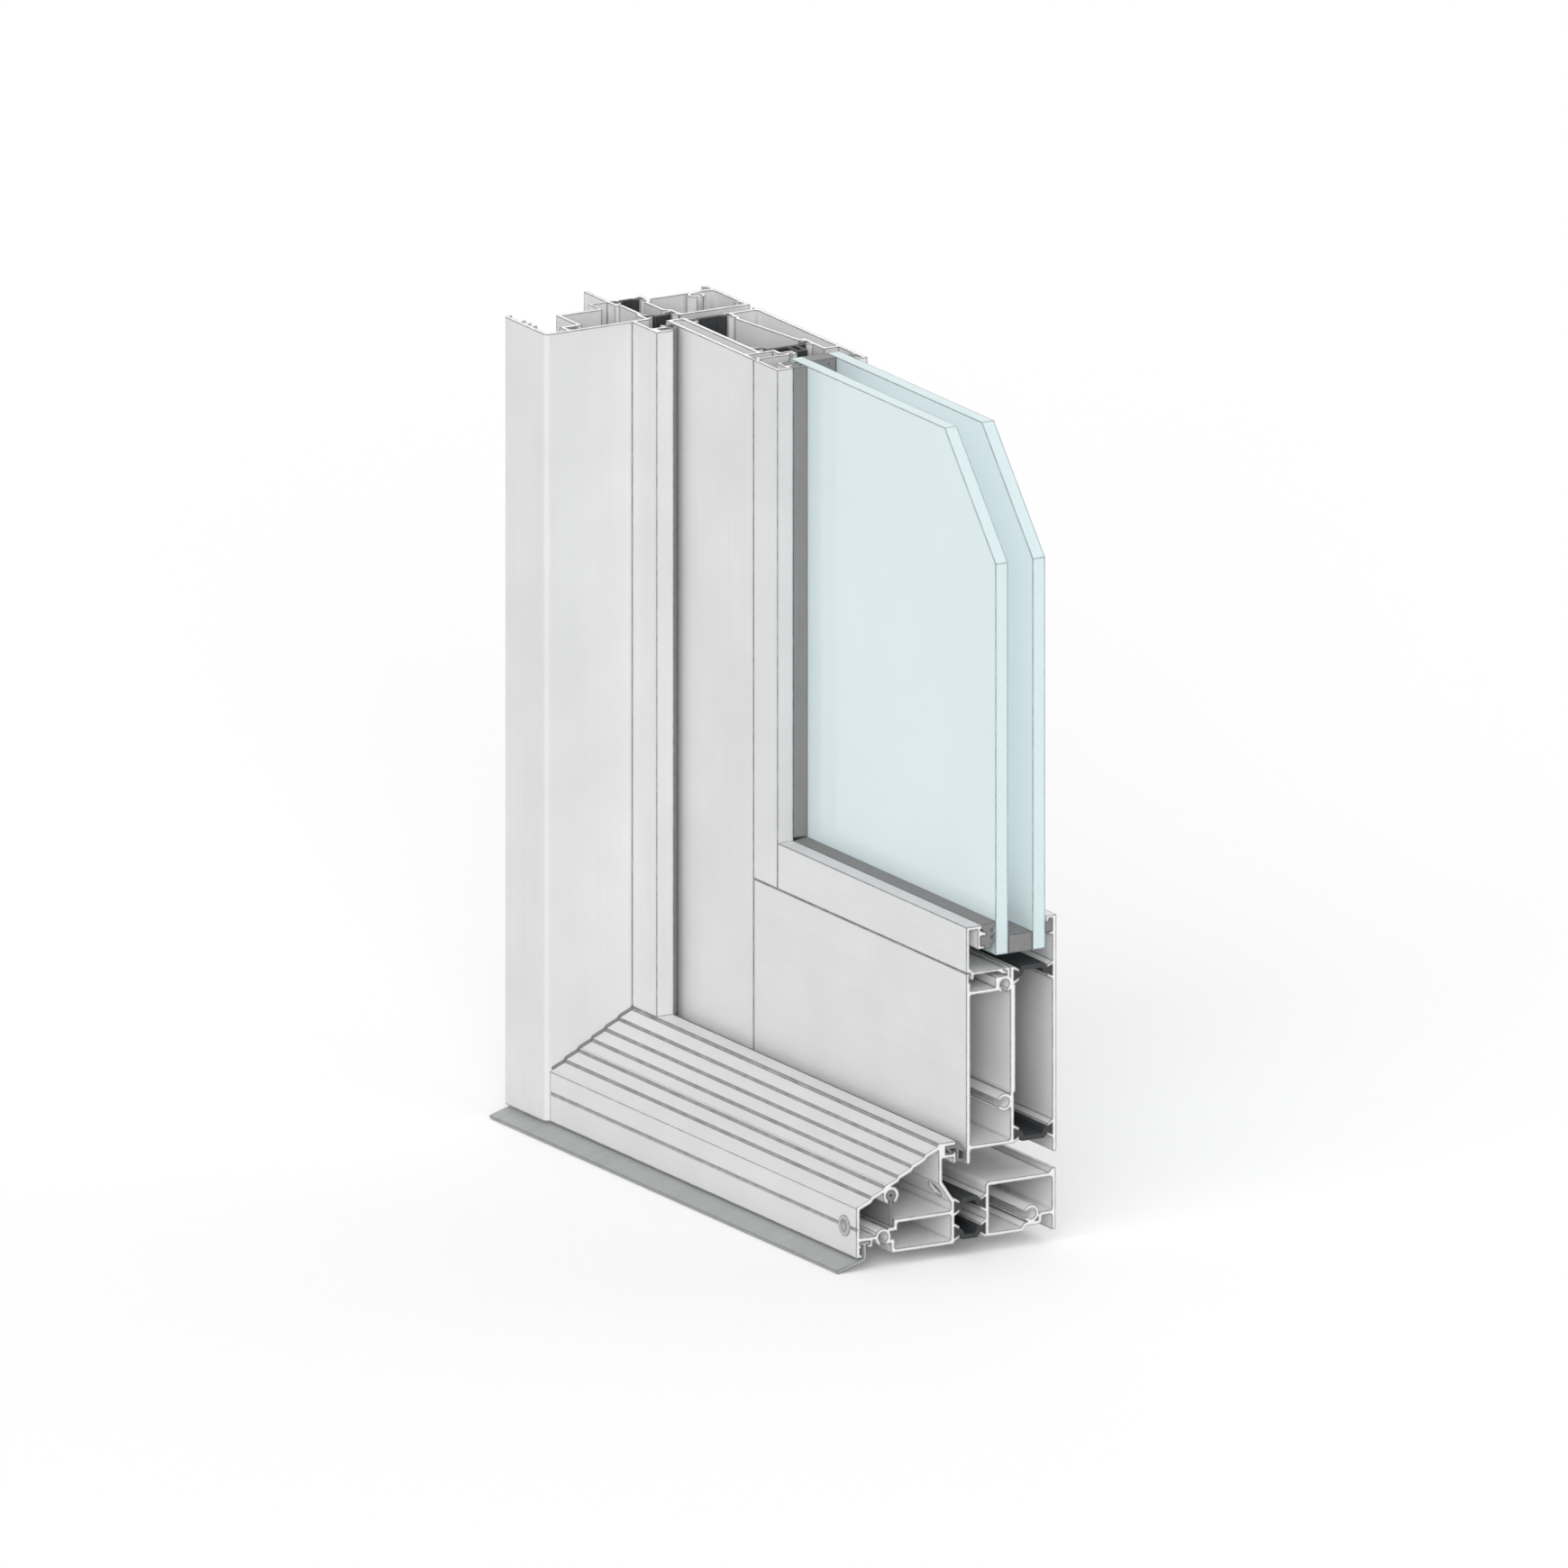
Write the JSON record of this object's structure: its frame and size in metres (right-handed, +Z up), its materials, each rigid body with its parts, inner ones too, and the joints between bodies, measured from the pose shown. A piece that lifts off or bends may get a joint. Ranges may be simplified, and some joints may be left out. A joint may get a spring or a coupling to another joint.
{
  "type": "hinged patio door corner sample",
  "caption": "Cut lower corner of a thermally broken aluminium hinged patio door: jamb, stepped sill and double glazed leaf that swings inward on a butt hinge.",
  "frame": {"origin": "middle of the flat foot under the outer sill profile", "axes": "+X along the sill away from the jamb, +Y from outside to inside, +Z up"},
  "size_m": [0.3102, 0.1171, 0.3481],
  "materials": {
    "aluminium": "satin powder coat on the faces, bare metal where cut",
    "thermal_break": "matte glass-filled polyamide",
    "rubber": "matte rubber",
    "glass": "clear float glass, pale blue",
    "spacer": "matte",
    "block": "matte",
    "flashing": "matte",
    "weep_ring": "matte",
    "hinge": "satin"
  },
  "bodies": {
    "frame": {"jamb_outer_profile": "aluminium", "jamb_inner_profile": "aluminium", "jamb_wall_break": "thermal_break", "jamb_leaf_break": "thermal_break", "jamb_seal": "rubber", "sill_outer_profile": "aluminium", "sill_inner_profile": "aluminium", "sill_upper_break": "thermal_break", "sill_lower_break": "thermal_break", "sill_seal": "rubber", "sill_drain_flap": "rubber", "weep_ring": "weep_ring", "drip_flashing": "flashing", "hinge_frame_plate": "hinge", "hinge_pin": "hinge"},
    "leaf": {"stile_outer_profile": "aluminium", "stile_inner_profile": "aluminium", "stile_edge_break": "thermal_break", "stile_glass_break": "thermal_break", "rail_outer_profile": "aluminium", "rail_inner_profile": "aluminium", "rail_upper_break": "thermal_break", "rail_lower_break": "thermal_break", "stile_bead": "aluminium", "rail_bead": "aluminium", "stile_wedge_gasket": "rubber", "rail_wedge_gasket": "rubber", "stile_inside_gasket": "rubber", "rail_inside_gasket": "rubber", "outer_pane": "glass", "inner_pane": "glass", "stile_spacer": "spacer", "rail_spacer": "spacer", "setting_block": "block", "hinge_leaf_plate": "hinge"}
  },
  "joints": [
    {"name": "leaf_hinge", "type": "hinge", "parent": "frame", "child": "leaf", "pos_m": [-0.12625, 0.07045, 0.19], "axis": [0, 0, 1], "range_deg": [0, 110]}
  ]
}
